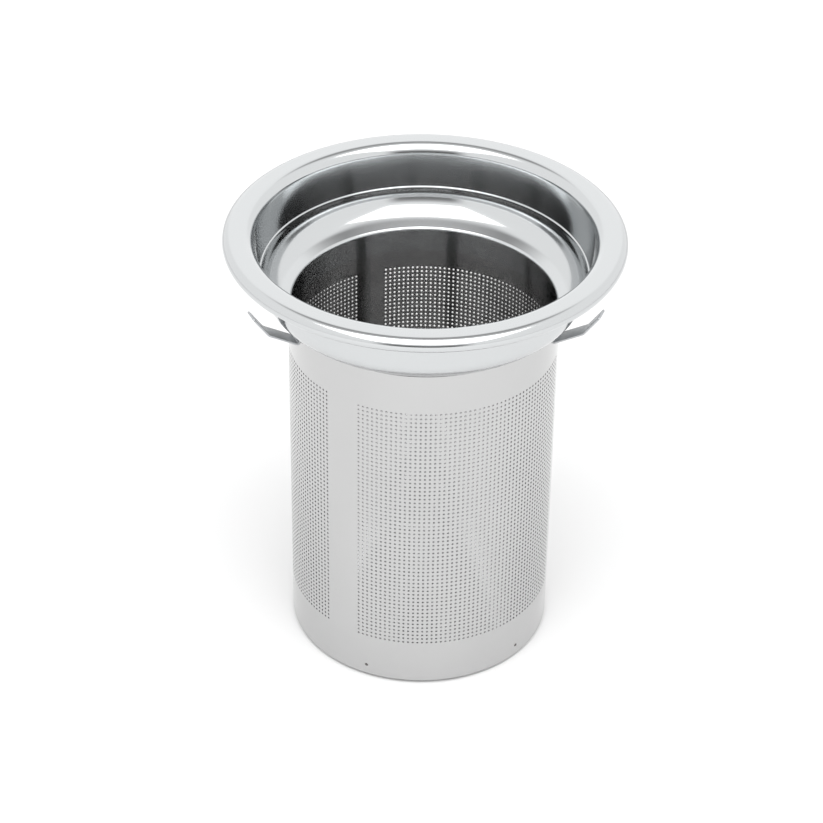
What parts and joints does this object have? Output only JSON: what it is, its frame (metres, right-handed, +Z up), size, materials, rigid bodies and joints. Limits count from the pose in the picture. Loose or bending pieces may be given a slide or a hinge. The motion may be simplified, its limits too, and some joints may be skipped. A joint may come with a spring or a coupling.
{
  "type": "basket strainer",
  "caption": "Deep perforated stainless basket with a bowl-shaped collar and rolled rim that drops into a round opening, held by sprung clips under the collar",
  "frame": {"origin": "Centre of the basket's flat bottom face.", "axes": "+Z up along the tube to the rim; -Y is the front; +X to the right seen from the front."},
  "size_m": [0.0996, 0.0996, 0.117],
  "materials": {
    "polished_stainless": "bright polished stainless sheet",
    "perforated_stainless": "bright rolled stainless sheet with round holes",
    "spring_stainless": "smooth rolled stainless spring strip"
  },
  "bodies": {
    "root": {"collar": "polished_stainless", "perforated_tube": "perforated_stainless", "bottom_cap": "perforated_stainless", "clip_leg_1": "spring_stainless", "clip_leg_2": "spring_stainless", "clip_leg_3": "spring_stainless"},
    "clip_1": {"clip_leaf_1": "spring_stainless"},
    "clip_2": {"clip_leaf_2": "spring_stainless"},
    "clip_3": {"clip_leaf_3": "spring_stainless"}
  },
  "joints": [
    {"name": "clip_1_flex", "type": "hinge", "parent": "root", "child": "clip_1", "pos_m": [-0.0317, -0.01411, 0.0935], "axis": [-0.4067, 0.9135, 0], "range_deg": [0, 15], "stiffness_Nm_per_rad": 1},
    {"name": "clip_2_flex", "type": "hinge", "parent": "root", "child": "clip_2", "pos_m": [0.03261, -0.01187, 0.0935], "axis": [-0.342, -0.9397, 0], "range_deg": [0, 15], "stiffness_Nm_per_rad": 1},
    {"name": "clip_3_flex", "type": "hinge", "parent": "root", "child": "clip_3", "pos_m": [-0.00121, 0.03468, 0.0935], "axis": [0.9994, 0.0349, 0], "range_deg": [0, 15], "stiffness_Nm_per_rad": 1}
  ]
}
